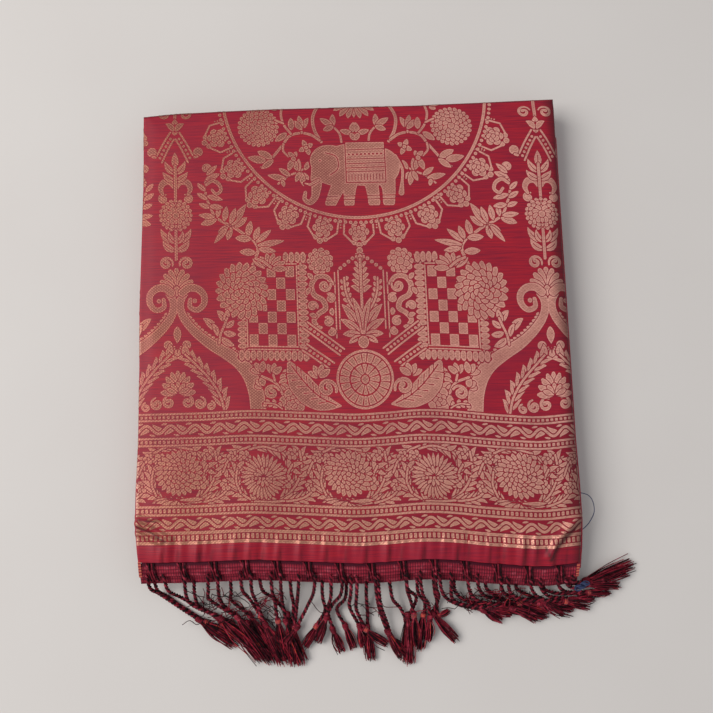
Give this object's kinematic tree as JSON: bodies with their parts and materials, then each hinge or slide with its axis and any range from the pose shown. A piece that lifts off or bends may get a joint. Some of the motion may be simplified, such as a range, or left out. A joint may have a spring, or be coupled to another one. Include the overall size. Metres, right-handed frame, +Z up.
{
  "type": "folded saree",
  "caption": "Brocade silk saree folded into a flat block, its ornamented end uppermost, with a woven heading and a twisted, knotted fringe along one side.",
  "frame": {"origin": "on the surface the saree lies on, below the middle of the whole piece, fringe included", "axes": "+Z up; +Y along the cloth from the fringe towards the far fold; +X to the viewer's right with the fringe towards the viewer"},
  "size_m": [0.3244, 0.3808, 0.0259],
  "materials": {
    "crimson_silk": "satin",
    "copper_brocade": "metallic brocade on satin",
    "maroon_thread": "matte"
  },
  "bodies": {
    "root": {"folded_stack": "crimson_silk", "under_turn": "crimson_silk", "pallu_field": "copper_brocade", "pallu_border": "copper_brocade", "plain_end": "crimson_silk", "fringe_upper": "maroon_thread", "fringe_lower": "maroon_thread"}
  },
  "joints": []
}
